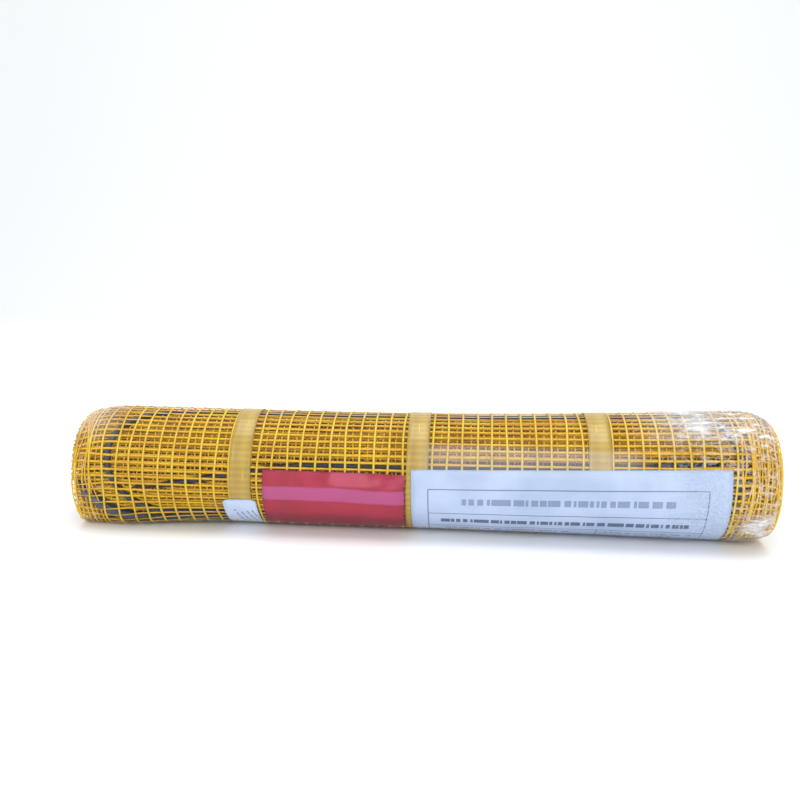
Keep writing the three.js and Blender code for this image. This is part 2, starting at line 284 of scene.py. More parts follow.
class Signal:
    """A shader socket used in Python expressions: each operator adds the Math node that works it out."""

    def __init__(self, socket):
        self.socket = socket

    def node(self, kind, settings=None, inputs=None, output=0):
        """Any node in the same material: its settings first, then the values or signals of its sockets."""
        tree = self.socket.id_data
        made = tree.nodes.new(kind)
        for name, value in (settings or {}).items():
            setattr(made, name, value)
        for key, value in (inputs or {}).items():
            if isinstance(value, Signal):
                tree.links.new(value.socket, made.inputs[key])
            else:
                made.inputs[key].default_value = value
        return Signal(made.outputs[output])

    def math(self, operation, *others):
        """A Math node of this signal and up to two others."""
        return self.node("ShaderNodeMath", {"operation": operation}, dict(enumerate([self, *others])))

    def __add__(self, other):
        return self.math("ADD", other)

    def __radd__(self, other):
        return self.math("ADD", other)

    def __sub__(self, other):
        return self.math("SUBTRACT", other)

    def __rsub__(self, other):
        return self.math("MULTIPLY", -1).math("ADD", other)

    def __mul__(self, other):
        return self.math("MULTIPLY", other)

    def __rmul__(self, other):
        return self.math("MULTIPLY", other)

    def rise(self, start, end):
        """0 below start, 1 above end, and a smooth step between; falls instead where end is below start."""
        settings = {"interpolation_type": "SMOOTHSTEP"}
        low, high = min(start, end), max(start, end)
        step = self.node("ShaderNodeMapRange", settings, {"Value": self, "From Min": low, "From Max": high})
        return step if end > start else 1 - step

    def mix(self, colour, other):
        """A colour that goes from the first to the second as this signal goes from 0 to 1."""
        inputs = {0: self}
        for key, value in ((6, colour), (7, other)):
            inputs[key] = value if isinstance(value, Signal) else (*value, 1)
        return self.node("ShaderNodeMix", {"data_type": "RGBA"}, inputs, output=2)

    def noise(self, scale, detail=3, roughness=0.5, stretch=(1, 1, 1)):
        """Noise read at this place, from 0 to 1; stretch multiplies the place along each axis first."""
        place = self.node("ShaderNodeVectorMath", {"operation": "MULTIPLY"}, {0: self, 1: stretch})
        inputs = {"Vector": place, "Scale": scale, "Detail": detail, "Roughness": roughness}
        return self.node("ShaderNodeTexNoise", None, inputs)

    def parts(self):
        """The three numbers of a vector."""
        split = self.node("ShaderNodeSeparateXYZ", None, {0: self})
        return split, Signal(split.socket.node.outputs[1]), Signal(split.socket.node.outputs[2])

    def bump(self, strength, distance):
        """A normal that this signal's height tilts; distance is the height of 1, in metres."""
        inputs = {"Height": self, "Strength": strength, "Distance": distance}
        return self.node("ShaderNodeBump", None, inputs)


def coordinates(material, kind="Object"):
    """Where a material reads: Object for the place in space in metres, UV for the piece's own map."""
    node = material.node_tree.nodes.new("ShaderNodeTexCoord")
    return Signal(node.outputs[kind])


def feed(shader, **signals):
    """Links signals to sockets of a shader, named with an underscore for each space."""
    for key, signal in signals.items():
        tree = signal.socket.id_data
        tree.links.new(signal.socket, shader.inputs[key.replace("_", " ")])


sheath_finish, sheath_shader = finish_named("cable_sheath", {"IOR": 1.5, "Coat Roughness": 0.25})
sheath_place = coordinates(sheath_finish)
sheath_map = coordinates(sheath_finish, "UV")
sheath_tone = sheath_place.noise(38, 4, 0.6)
sheath_dust = sheath_place.noise(420, 3, 0.6)
sheath_colour = sheath_tone.rise(0.35, 0.7).mix((0.010, 0.014, 0.030), (0.022, 0.032, 0.066))
sheath_colour = (sheath_dust.rise(0.58, 0.75) * 0.35).mix(sheath_colour, (0.10, 0.12, 0.16))
sheath_scuff = sheath_map.noise(900, 3, 0.6, (0.25, 1, 1))
feed(sheath_shader, Base_Color=sheath_colour, Roughness=0.36 + sheath_dust * 0.22,
     Coat_Weight=0.25 - sheath_dust * 0.2, Normal=sheath_scuff.bump(0.4, 0.0002))

cable_points, cable_uv = tube(settled(*cable_route.T), cable_radius, 12, outward(cable_route[:, 1]))
cable = surface("cable_legs", cable_points, grid_faces(*cable_points.shape[:2], wrap_columns=True),
                sheath_finish, uv=cable_uv)
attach(cable, "root")
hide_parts("heating_cable")

inner_points, inner_uv = tube(settled(*inner_route.T), cable_radius, 10, outward(inner_route[:, 1]))
inner_leg = surface("cable_inner_leg", inner_points, grid_faces(*inner_points.shape[:2], wrap_columns=True),
                    sheath_finish, uv=inner_uv)
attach(inner_leg, "root")

# Supply lead.
# The cold lead that joins the mat to its thermostat: a round flex 7 mm across with a smooth dark jacket. It
# comes out of the bore, bends over the left rim under the film and is tucked in along the lower front.
lead_radius = 0.0035
lead_route = eased_route([
    [-0.192, -10, 0.03675], [-0.210, -10, 0.03675], [-0.224, -10, 0.03645], [-0.2365, -8, 0.02975],
    [-0.2394, -7, 0.01875], [-0.2384, -11, 0.0076], [-0.2325, -20, 0.0046], [-0.223, -33, 0.0046],
    [-0.211, -44, 0.0046], [-0.196, -52, 0.0046], [-0.176, -58, 0.0048], [-0.144, -63, 0.0051],
    [-0.060, -66, 0.0054], [0.040, -66, 0.0055], [0.058, -66, 0.0064], [0.076, -66, 0.0092],
    [0.092, -66, 0.0142],
], ease=0.004)
lead_on_roll = lead_route[60:]
lead_turn = np.radians(lead_route[:, 1])
lead_side = np.stack([np.zeros_like(lead_turn), np.sin(lead_turn), np.cos(lead_turn)], axis=-1)

jacket_finish, jacket_shader = finish_named("lead_jacket", {"IOR": 1.5, "Coat Roughness": 0.15})
jacket_place = coordinates(jacket_finish)
jacket_tone = jacket_place.noise(60, 4, 0.55)
jacket_map = coordinates(jacket_finish, "UV")
jacket_colour = jacket_tone.rise(0.3, 0.75).mix((0.012, 0.015, 0.028), (0.030, 0.045, 0.085))
feed(jacket_shader, Base_Color=jacket_colour, Roughness=0.28 + jacket_tone * 0.2,
     Coat_Weight=0.5 - jacket_tone * 0.3, Normal=jacket_map.noise(700, 2, 0.5, (0.3, 1, 1)).bump(0.3, 0.0002))

lead_points, lead_uv = tube(settled(*lead_route.T), lead_radius, 16, lead_side)
lead = surface("supply_lead_flex", lead_points, grid_faces(*lead_points.shape[:2], wrap_columns=True),
               jacket_finish, uv=lead_uv)
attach(lead, "root")
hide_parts("supply_lead")

# Rolled mesh.
# Glass-fibre mesh with a yellow coating, 10 mm by 5 mm between its strands, rolled up round an open bore.
# Flat narrow strands run round the roll and wider, thinner ones along it, in turn on turn, under the cable.
strand_pitch = 0.010
first_strand = -0.2383
strand_count = 49
row_count = 52
ring_stations = 144
row_stations = 121
strip_corners = np.array([0, 0.5, 1, 0.5])
ring_half_thickness = 0.00028
row_half_thickness = 0.00022
row_below_ring = 0.00035
rise_over_lead = 0.0011
row_narrowing = 0.62
dice = np.random.default_rng(7)


def near_cord(x, angle, route):
    """How near places on the roll are to a route over it: the least distance on the unrolled surface."""
    thin = route[::3]
    arc = np.radians(angle) * mean_radius
    least = np.full(x.shape, 1.0)
    whole = 2 * np.pi * mean_radius
    for start in range(0, len(thin), 60):
        part = thin[start:start + 60]
        gap_x = x[..., None] - part[:, 0]
        gap_arc = arc[..., None] - np.radians(part[:, 1]) * mean_radius
        gap_arc = gap_arc - whole * np.round(gap_arc / whole)
        least = np.minimum(least, np.sqrt(gap_x ** 2 + gap_arc ** 2).min(-1))
    return least


def tucked(x, angle, depth):
    """A layer's depth where it passes under the cords: it eases down to clear them, by a bell curve of the
    distance to each."""
    down = depth
    cords = [(cable_route, 0.0067, 0.0042), (inner_route, 0.0092, 0.0042), (lead_on_roll, 0.0094, 0.0062)]
    for route, under, reach in cords:
        close = np.exp(-((near_cord(x, angle, route) / reach) ** 4))
        down = down + np.maximum(under - down, 0) * close
    return down


def over_lead(x, angle):
    """1 over the supply lead and 0 away from it, by a bell curve of the distance to it."""
    return np.exp(-((near_cord(x, angle, lead_on_roll) / 0.0065) ** 4))


def band(x, angle, depth, half_x, half_angle, half_depth):
    """Strands as closed strips: four corners round each station, two at its sides and two at its faces."""
    corner_side = np.array([1.0, 0.0, -1.0, 0.0])
    corner_face = np.array([0.0, -1.0, 0.0, 1.0])
    grow = [value[..., None] for value in np.broadcast_arrays(x, angle, depth, half_x, half_angle)]
    return (grow[0] + grow[3] * corner_side, grow[1] + grow[4] * corner_side,
            grow[2] + half_depth * corner_face)


def strip_faces(strips, stations, closed):
    """The quads of closed strips of four corners; an open strip gets a quad on each of its two ends."""
    index = np.arange(strips * stations * 4).reshape(strips, stations, 4)
    after = np.roll(index, -1, axis=1) if closed else index[:, 1:]
    before = index if closed else index[:, :-1]
    quads = np.stack([before, after, np.roll(after, -1, 2), np.roll(before, -1, 2)], axis=-1)
    if closed:
        return quads.reshape(-1, 4)
    ends = np.concatenate([index[:, 0], index[:, -1, ::-1]])
    return np.concatenate([quads.reshape(-1, 4), ends])


def outside_out(points, faces):
    """The same quads, turned over if the volume that they close comes out below nothing."""
    corner = points.reshape(-1, 3)[faces]
    volume = (np.cross(corner[:, 0], corner[:, 1]) * corner[:, 2]).sum()
    volume += (np.cross(corner[:, 0], corner[:, 2]) * corner[:, 3]).sum()
    return faces if volume > 0 else faces[:, ::-1]


def net(name, material, row_material, depth, phase, row_phase, ring_width, row_width, sway, tuck=True):
    """One turn of the mesh as two pieces of strips: rings round the roll and rows along it.

    Each strand leaves its place in the lattice by slow sines of its own, and the rows draw together at the
    ends, where the film bunches them. The outer turn isn't tucked under the cords: it rises over the lead, and
    its rows are narrower there.
    """
    angle = np.linspace(-180, 180, ring_stations, endpoint=False)[None, :]
    ring_x = first_strand + phase + strand_pitch * np.arange(strand_count)[:, None]
    ring_x = ring_x[np.abs(ring_x[:, 0]) < roll_end]
    count = len(ring_x)
    swing = dice.uniform(0, 360, (count, 4))
    size = dice.normal(0, sway, (count, 4))
    way = np.radians(angle)
    x = ring_x + sum(size[:, [k]] * np.sin((k + 1) * way + np.radians(swing[:, [k]])) for k in range(4))
    x = np.clip(x, -roll_end, roll_end)
    deep = tucked(x, angle + 0 * x, depth) if tuck else depth - rise_over_lead * over_lead(x, angle + 0 * x)
    strips = band(x, angle, deep, ring_width / 2, 0.0, ring_half_thickness)
    points = settled(*strips)
    faces = outside_out(points, strip_faces(count, ring_stations, True))
    across = np.broadcast_to(strip_corners * ring_width, points.shape[:3])
    uv = np.stack([np.broadcast_to(way[..., None] * mean_radius, points.shape[:3]), across], axis=-1)
    rings = surface(name + "_rings", points, faces, material, uv=uv)

    row_angle = np.linspace(-180, 180, row_count, endpoint=False)[:, None] + row_phase
    x = np.linspace(-roll_end + 0.0005, roll_end - 0.0005, row_stations)[None, :]
    swing = dice.uniform(0, 2 * np.pi, (row_count, 3))
    size = dice.normal(0, sway / mean_radius * 57.3 * 0.45, (row_count, 3))
    sag = sum(size[:, [k]] * np.sin((9 + 14 * k) * x + swing[:, [k]]) for k in range(3))
    ragged = np.clip((np.abs(x) - 0.215) / 0.027, 0, 1)
    sag = sag + ragged * dice.normal(0, 1.6, (row_count, 1)) + ragged * 1.0 * np.sin(160 * x + swing[:, [0]])
    angle = row_angle + sag
    x = x + 0 * angle
    deep = (tucked(x, angle, depth) if tuck else depth - rise_over_lead * over_lead(x, angle)) + row_below_ring
    width = row_width * (1 + 0.12 * np.sin(2 * np.pi * (x - first_strand - phase) / strand_pitch))
    if not tuck:
        width = width * (1 - row_narrowing * over_lead(x, angle))
    strips = band(x, angle, deep, 0.0, np.degrees(width / 2 / mean_radius), row_half_thickness)
    points = settled(*strips)
    faces = outside_out(points, strip_faces(row_count, row_stations, False))
    across = np.broadcast_to(strip_corners * row_width, points.shape[:3])
    uv = np.stack([points[..., 0], across], axis=-1)
    rows = surface(name + "_rows", points, faces, row_material, uv=uv)
    for piece in (rings, rows):
        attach(piece, "root")


def yarn_finish(name, dull, bright, rough):
    """Coated glass yarn: colour drifts between two tones in patches and along fine fibres, and the coat is
    glossier where it lies thick."""
    material, shader = finish_named(name, {"IOR": 1.5, "Specular IOR Level": 0.3, "Coat Roughness": 0.25})
    place = coordinates(material)
    fibres = coordinates(material, "UV").noise(1500, 3, 0.6, (0.12, 1, 1))
    patches = place.noise(55, 4, 0.55)
    colour = (patches * 0.65 + fibres * 0.35).rise(0.36, 0.62).mix(dull, bright)
    feed(shader, Base_Color=colour, Roughness=rough + fibres * 0.2, Coat_Weight=0.16 - fibres * 0.14,
         Normal=fibres.bump(0.5, 0.0002))
    return material


outer_yarn = yarn_finish("mesh_yarn_outer", (0.68, 0.42, 0.018), (0.84, 0.58, 0.052), 0.5)
inner_yarn = yarn_finish("mesh_yarn_inner", (0.66, 0.35, 0.002), (0.80, 0.48, 0.007), 0.55)
# The third and fourth turns and the cut ends take a darker copy of the same yarn: painted shade where they lie
# deeper in the roll.
shaded_deep_yarn = yarn_finish("mesh_yarn_deep_painted_shade", (0.47, 0.22, 0.003), (0.68, 0.37, 0.007), 0.6)

net("mesh_outer", outer_yarn, inner_yarn, 0.00150, 0.0, 0.0, 0.0016, 0.0018, 0.00025, tuck=False)
net("mesh_second", inner_yarn, inner_yarn, 0.0031, 0.0052, 1.2, 0.0011, 0.0024, 0.0005)
net("mesh_third", shaded_deep_yarn, inner_yarn, 0.0044, 0.0026, -1.0, 0.0011, 0.0026, 0.0005)
net("mesh_fourth", shaded_deep_yarn, shaded_deep_yarn, 0.0057, 0.0077, 0.6, 0.0011, 0.0026, 0.0005)

# Near both ends the film bunches the outer turn, and loose strands wander there across the others.
bunch_angle = np.linspace(-180, 180, 160, endpoint=False)[None, :]
bunch_way = np.radians(bunch_angle)
for side, side_name, bunch_count, inwards in ((-1, "left", 7, 0.022), (1, "right", 18, 0.030)):
    bunch_x = side * (roll_end - dice.uniform(0.002, inwards, (bunch_count, 1)))
    for turn_count in range(1, 7):
        swing = dice.uniform(0, 2 * np.pi, (bunch_count, 1))
        size = dice.normal(0, 0.0021 / turn_count, (bunch_count, 1))
        bunch_x = bunch_x + size * np.sin(turn_count * bunch_way + swing)
    bunch_x = side * np.clip(side * bunch_x, roll_end - inwards - 0.006, roll_end - 0.0005)
    bunch_depth = 0.0012 + 0.0009 * np.sin(3 * bunch_way + dice.uniform(0, 2 * np.pi, (bunch_count, 1))) ** 2
    points = settled(*band(bunch_x, bunch_angle + 0 * bunch_x, bunch_depth, 0.0006, 0.0, 0.00025))
    faces = outside_out(points, strip_faces(bunch_count, bunch_angle.size, True))
    uv = np.stack([np.broadcast_to(bunch_way[..., None] * mean_radius, points.shape[:3]),
                   np.broadcast_to(strip_corners * 0.0012, points.shape[:3])], axis=-1)
    bunch = surface("mesh_bunched_" + side_name, points, faces, inner_yarn, uv=uv)
    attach(bunch, "root")

# The turns further in, seen only through the gaps, are one closed body with its bore and ridged ends; its
# near-black brown is painted shade.
core_depth = 0.0072
core_inset = 0.006
core_x = np.linspace(-roll_end + core_inset, roll_end - core_inset, 240)
core_angle = np.linspace(-180, 180, 132, endpoint=False)
grid_x, grid_angle = np.meshgrid(core_x, core_angle, indexing="ij")
core_side = settled(grid_x, grid_angle, tucked(grid_x, grid_angle, core_depth) + 0.0004)
bore_depth = 0.0300
ridges = np.arange(0, 1.0001, 1 / 40)
ridge_depth = core_depth + 0.0006 + (bore_depth - core_depth) * ridges
ridge_inset = 0.0065 + 0.0012 * np.cos(2 * np.pi * ridges * 8)


def end_rings(side, depths, insets):
    """Rings of an end face: one at each depth, as far in from the roll's end as its inset."""
    rings_depth, rings_angle = np.meshgrid(depths, core_angle, indexing="ij")
    spot = side * (roll_end - np.array(insets))[:, None]
    return settled(spot + 0 * rings_angle, rings_angle, rings_depth)


bore_insets = np.linspace(0.0065, 2 * roll_end - 0.0065, 60)
core_points = np.concatenate([
    core_side,
    end_rings(1, ridge_depth, ridge_inset),
    settled(roll_end - bore_insets[:, None] + 0 * core_angle, core_angle[None] + 0 * bore_insets[:, None],
            bore_depth),
    end_rings(-1, ridge_depth[::-1], ridge_inset[::-1]),
])
core_faces = grid_faces(*core_points.shape[:2], wrap_rows=True, wrap_columns=True).reshape(-1, 4)

core_finish, core_shader = finish_named("mesh_inner_turns_painted_shade", {"Specular IOR Level": 0.2})
core_place = coordinates(core_finish)
core_patch = core_place.noise(70, 4, 0.6, (0.6, 1, 1))
core_thread = core_place.noise(900, 2, 0.5, (1.6, 0.35, 0.35))
core_row = core_place.noise(500, 2, 0.5, (0.12, 1.2, 1.2))
core_tone = core_patch * 0.5 + core_thread * 0.28 + core_row * 0.22
# The colour runs from a near-black brown, painted shade of the turns further in, to the orange of the yarn, in
# patches, threads and rows.
core_colour_and_shade = core_tone.rise(0.40, 0.60).mix((0.030, 0.016, 0.007), (0.33, 0.155, 0.012))
feed(core_shader, Base_Color=core_colour_and_shade, Roughness=0.6 + core_patch * 0.3,
     Normal=(core_thread + core_row).bump(0.8, 0.0006))
core = surface("mesh_core", core_points, outside_out(core_points, core_faces), core_finish)
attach(core, "root")
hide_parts("mat_roll")

# Ends of the turns.
# On both ends the edges of the turns show round the bore: the last strand of each turn, and beside it the
# cut ends of the strands that run along the roll, uneven and a little frayed.
turn_pitch = 0.0029
spiral_turns = (bore_depth - 0.0035) / turn_pitch


def spiral_depth(angle_run):
    """The depth of the mesh after it has turned inwards by an angle, in degrees, from its outer edge."""
    return 0.0030 + turn_pitch * angle_run / 360


for side, side_name in ((-1, "left"), (1, "right")):
    run = np.arange(0, 360 * (spiral_turns - 0.15), 3.0)
    strips_x, strips_angle, strips_depth = [], [], []
    for inset in (0.0012, 0.0062, 0.0115):
        wander = 0.0007 * np.sin(np.radians(run * 1.7) + 9 * inset / 0.01)
        wander = wander + 0.0004 * np.sin(np.radians(run * 5.3))
        strips_x.append(side * (roll_end - inset - wander))
        strips_angle.append(run)
        strips_depth.append(spiral_depth(run) + 0.0003 * np.sin(np.radians(run * 3.1) + inset * 900))
    strips = band(np.array(strips_x), np.array(strips_angle), np.array(strips_depth), 0.0007, 0.0, 0.0003)
    points = settled(*strips)
    faces = outside_out(points, strip_faces(3, len(run), False))
    uv = np.stack([np.broadcast_to(np.radians(run)[None, :, None] * 0.03, points.shape[:3]),
                   np.broadcast_to(strip_corners * 0.0014, points.shape[:3])], axis=-1)
    edge_turns = surface("mesh_edge_" + side_name, points, faces, inner_yarn, uv=uv)

    arc_run = np.cumsum(0.0050 / (mean_radius - spiral_depth(np.linspace(0, 360 * spiral_turns, 330))))
    stub_run = np.degrees(arc_run)[np.degrees(arc_run) < 360 * (spiral_turns - 0.15)]
    stub_run = stub_run + dice.normal(0, 1.0, stub_run.shape)
    length = np.linspace(0, 1, 5)[None, :]
    reach = dice.uniform(-0.0020, 0.0004, (len(stub_run), 1))
    lean = dice.normal(0, 2.4, (len(stub_run), 1))
    stub_x = side * (roll_end - 0.0006 - 0.016 * (1 - length) + reach * length)
    stub_angle = stub_run[:, None] + lean * length ** 2
    stub_depth = spiral_depth(stub_run)[:, None] + 0.0004
    stub_depth = stub_depth + dice.normal(0, 0.0004, (len(stub_run), 1)) * length
    half_angle = np.degrees(0.0011 / (mean_radius - stub_depth)) * (1 - 0.25 * length)
    strips = band(stub_x, stub_angle, stub_depth, 0.0, half_angle, 0.0002)
    points = settled(*strips)
    faces = outside_out(points, strip_faces(len(stub_run), 5, False))
    uv = np.stack([points[..., 0], np.broadcast_to(strip_corners * 0.002, points.shape[:3])], axis=-1)
    # The cut ends take the darker yarn, as painted shade.
    stubs = surface("mesh_cut_ends_" + side_name, points, faces, shaded_deep_yarn, uv=uv)
    for piece in (edge_turns, stubs):
        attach(piece, "root")

# Tapes.
# Three turns of glossy yellow packing tape hold the roll shut, a quarter of its length apart. The tape is
# thin and takes the print of the strands under it.
tape_width = 0.015
tape_depth = 0.00115
tape_pitch = 0.122
middle_tape_x = 0.0012
tapes = {
    "tape_left": middle_tape_x - tape_pitch,
    "tape_middle": middle_tape_x,
    "tape_right": middle_tape_x + tape_pitch,
}

tape_finish, tape_shader = finish_named("packing_tape", {"IOR": 1.5, "Coat Roughness": 0.12})
tape_place = coordinates(tape_finish)
tape_map = coordinates(tape_finish, "UV")
tape_around, tape_across, _ = tape_map.parts()
tape_rows = (tape_around * (2 * np.pi / (strand_pitch / 2))).math("SINE") * 0.5 + 0.5
tape_rings = ((tape_across - 0.002) * (2 * np.pi / strand_pitch)).math("COSINE") * 0.5 + 0.5
tape_patch = tape_place.noise(90, 3, 0.55)
tape_relief = tape_rows * 0.5 + tape_rings * 0.5 + tape_patch * 0.8
tape_colour = (tape_relief * 0.55).rise(0.2, 0.85).mix((0.385, 0.240, 0.023), (0.50, 0.335, 0.045))
feed(tape_shader, Base_Color=tape_colour, Roughness=0.24 + tape_patch * 0.2,
     Coat_Weight=0.5 - tape_patch * 0.3, Normal=tape_relief.bump(0.5, 0.0005))

for tape_name, tape_x in tapes.items():
    tape_angle = np.linspace(-180, 180, 180, endpoint=False)
    half = tape_width / 2
    profile_x = np.array([-half, -half * 0.6, -half * 0.2, half * 0.2, half * 0.6, half])
    profile = np.concatenate([np.stack([profile_x, np.zeros(6)], -1),
                              np.stack([profile_x[::-1], np.full(6, 0.00022)], -1)])
    wave = 0.00012 * np.sin(np.radians(tape_angle * 7)) + 0.00010 * np.sin(np.radians(tape_angle * 13) + 1)
    drift = 0.0004 * np.sin(np.radians(tape_angle + 40))
    points = settled(tape_x + profile[None, :, 0] + drift[:, None], tape_angle[:, None],
                     tape_depth + profile[None, :, 1] + wave[:, None])
    faces = grid_faces(*points.shape[:2], wrap_rows=True, wrap_columns=True).reshape(-1, 4)
    uv = np.stack(np.broadcast_arrays(np.radians(tape_angle)[:, None] * mean_radius, profile[None, :, 0]), -1)
    tape = surface(tape_name + "_band", points, outside_out(points, faces), tape_finish, uv=uv)
    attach(tape, "root")
    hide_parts(tape_name)

# Paper cards and label.
# A white control card, a red caution card and a small white label lie on the roll under the film, bent round
# it from their top edges down. Their print is left out or reduced to plain rules and bars.
card_depth = 0.00060
card_thickness = 0.00025
card_height = 0.148


def bent_card(name, material, width, height, middle, top, tilt, corner=0.0005):
    """A sheet bent round the roll: across it x goes straight, down it the angle falls in step with the arc,
    and the tilt turns it in its own plane. Its map is in metres from the top left corner."""
    columns, rows = max(int(width / 0.004), 8), max(int(height / 0.002), 16)
    across = np.linspace(0, width, columns)
    down = np.linspace(0, height, rows)
    grid_down, grid_across = np.meshgrid(down, across, indexing="ij")
    from_middle = grid_across - width / 2
    turned_x = from_middle * np.cos(tilt) + grid_down * np.sin(tilt)
    turned_down = grid_down * np.cos(tilt) - from_middle * np.sin(tilt)
    cut = np.maximum(corner - np.minimum(grid_across, width - grid_across), 0)
    turned_down = np.where(grid_down < corner, np.maximum(turned_down, turned_down + cut), turned_down)
    arc_radius = mean_radius - card_depth
    angle = top - np.degrees(turned_down / arc_radius)
    x = middle + turned_x
    lift = 0.00008 * np.sin(140 * x + 3) * np.sin(np.radians(angle * 5))
    outer = settled(x, angle, card_depth + lift)
    inner = settled(x, angle, card_depth + lift + card_thickness)
    shell = np.stack([outer, inner])
    index = np.arange(shell[..., 0].size).reshape(2, rows, columns)
    rim = [index[:, 0, :], index[:, 1:, -1], index[:, -1, -2::-1], index[:, -2:0:-1, 0]]
    rim = np.concatenate(rim, axis=1)
    sides = np.stack([rim[0], np.roll(rim[0], -1), np.roll(rim[1], -1), rim[1]], axis=-1)
    quads = grid_faces(rows, columns).reshape(-1, 4)
    faces = np.concatenate([quads, quads[:, ::-1] + rows * columns, sides[:, ::-1]])
    uv = np.stack([np.stack([grid_across, grid_down], -1)] * 2)
    card = surface(name, shell, outside_out(shell, faces), material, uv=uv)
    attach(card, "root")
    return card


def stripe(value, start, end, soft=0.00012):
    """1 where a signal is between two numbers, with soft edges."""
    return value.rise(start - soft, start + soft) * value.rise(end + soft, end - soft)


def ruled(value, places, thickness):
    """1 on thin lines at the given places."""
    total = stripe(value, places[0] - thickness / 2, places[0] + thickness / 2)
    for place in places[1:]:
        total = total.math("MAXIMUM", stripe(value, place - thickness / 2, place + thickness / 2))
    return total


def bar_row(across, down, start, end, top, foot, pace, share):
    """A row of plain bars in place of a line of print, where slow noise read at a pace rises past a share."""
    inputs = {"W": across * pace, "Scale": 1.0, "Detail": 1.0}
    gaps = across.node("ShaderNodeTexNoise", {"noise_dimensions": "1D"}, inputs)
    return stripe(across, start, end) * stripe(down, top, foot) * gaps.rise(share, share + 0.02)


paper_look = {"IOR": 1.45, "Coat Roughness": 0.3}
white_finish, white_shader = finish_named("white_card", paper_look)
white_place = coordinates(white_finish)
white_across, white_down, _ = coordinates(white_finish, "UV").parts()
white_grain = white_place.noise(900, 3, 0.6)
white_shade = white_place.noise(28, 3, 0.5)
white_paper = white_shade.rise(0.35, 0.7).mix((0.40, 0.49, 0.66), (0.49, 0.58, 0.77))
table_left, table_right, table_foot = 0.0115, 0.1965, 0.140
table_rows = [0.0140, 0.0345, 0.0505, 0.064, 0.078, 0.092, 0.106]
upright_rules = ruled(white_across, [table_left, table_right], 0.0007)
upright_rules = upright_rules * stripe(white_down, table_rows[0], table_foot)
level_rules = ruled(white_down, table_rows, 0.0007) * stripe(white_across, table_left, table_right)
middle_rule = ruled(white_across, [0.1265], 0.0006) * stripe(white_down, table_rows[2], table_foot)
frame_lines = upright_rules.math("MAXIMUM", level_rules).math("MAXIMUM", middle_rule)
title_bars = bar_row(white_across, white_down, 0.0335, 0.1755, 0.0212, 0.0262, 330, 0.41)
head_bars = bar_row(white_across, white_down, 0.0200, 0.1865, 0.0405, 0.0448, 420, 0.41)
small_bars = bar_row(white_across, white_down, 0.0200, 0.1100, 0.0545, 0.0570, 260, 0.45)
side_bars = ((0.1300, 0.1900, 0.0540, 0.0558, 300), (0.1400, 0.1780, 0.0590, 0.0608, 320))
for start, end, top, foot, pace in side_bars:
    more_bars = bar_row(white_across, white_down, start, end, top, foot, pace, 0.45)
    small_bars = small_bars.math("MAXIMUM", more_bars)
white_print = (title_bars * 0.6).mix(white_paper, (0.085, 0.13, 0.27))
white_print = (head_bars * 0.85).mix(white_print, (0.035, 0.05, 0.12))
white_print = (small_bars * 0.6).mix(white_print, (0.06, 0.08, 0.16))
white_print = (frame_lines * 0.8).mix(white_print, (0.06, 0.08, 0.15))
feed(white_shader, Base_Color=white_print, Roughness=0.45 + white_grain * 0.2,
     Normal=white_grain.bump(0.25, 0.0001))

control_card = bent_card("control_card_sheet", white_finish, 0.211, card_height, 0.1029, 18.0,
                          np.radians(1.0), 0.0)
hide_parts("control_card")

# The red card's colour carries painted light: a painted reflection, painted shade and painted highlights, as
# below.
red_finish, red_shader = finish_named("red_card_painted_light", paper_look)
red_place = coordinates(red_finish)
_, red_down, _ = coordinates(red_finish, "UV").parts()
red_cloud = red_place.noise(60, 4, 0.6)
red_fine = red_place.noise(700, 3, 0.6)
# A pink band near the top of the card, with a wavy upper edge, is a painted reflection.
red_reflection_edge = red_down + (red_place.noise(45, 2, 0.5, (1, 0.2, 0.2)) - 0.5) * 0.004
red_colour = red_cloud.rise(0.3, 0.7).mix((0.325, 0.009, 0.033), (0.43, 0.019, 0.059))
red_colour = (stripe(red_reflection_edge, 0.0125, 0.0235, 0.0010) * 0.75).mix(red_colour, (0.46, 0.085, 0.26))
# Under the band comes a strip of even middle red. Further down, the card turns darker where it bends down
# round the roll: painted shade.
red_colour = (stripe(red_down, 0.0240, 0.0330, 0.0016) * 0.5).mix(red_colour, (0.36, 0.014, 0.036))
red_colour = (red_down.rise(0.034, 0.042) * 0.7).mix(red_colour, (0.19, 0.007, 0.020))
# Pale pink patches along the top edge are painted highlights.
red_highlight_patch = red_place.noise(38, 2, 0.5).rise(0.50, 0.62) * red_down.rise(0.012, 0.009)
red_colour = (red_highlight_patch * 0.45).mix(red_colour, (0.62, 0.12, 0.20))
feed(red_shader, Base_Color=red_colour, Roughness=0.42 + red_fine * 0.2, Normal=red_fine.bump(0.25, 0.0001))
caution_card = bent_card("caution_card_sheet", red_finish, 0.098, card_height, -0.0556, 11.3,
                          np.radians(-0.7))
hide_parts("caution_card")

label_finish, label_shader = finish_named("label_paper", paper_look)
label_place = coordinates(label_finish)
label_across, label_down, _ = coordinates(label_finish, "UV").parts()
label_grain = label_place.noise(900, 3, 0.6)
label_paper = label_place.noise(60, 3, 0.5).rise(0.35, 0.7).mix((0.50, 0.60, 0.78), (0.58, 0.69, 0.88))
label_lean = label_across - label_down * 0.25
label_bars = bar_row(label_down, label_lean, 0.0100, 0.0360, 0.0040, 0.0052, 420, 0.45)
for bar_place in (0.0078, 0.0122, 0.0160):
    more_bars = bar_row(label_down, label_lean, 0.0110, 0.0360, bar_place, bar_place + 0.0012,
                        380 + 9000 * bar_place, 0.45)
    label_bars = label_bars.math("MAXIMUM", more_bars)
feed(label_shader, Base_Color=(label_bars * 0.7).mix(label_paper, (0.05, 0.06, 0.12)),
     Roughness=0.45 + label_grain * 0.2, Normal=label_grain.bump(0.25, 0.0001))
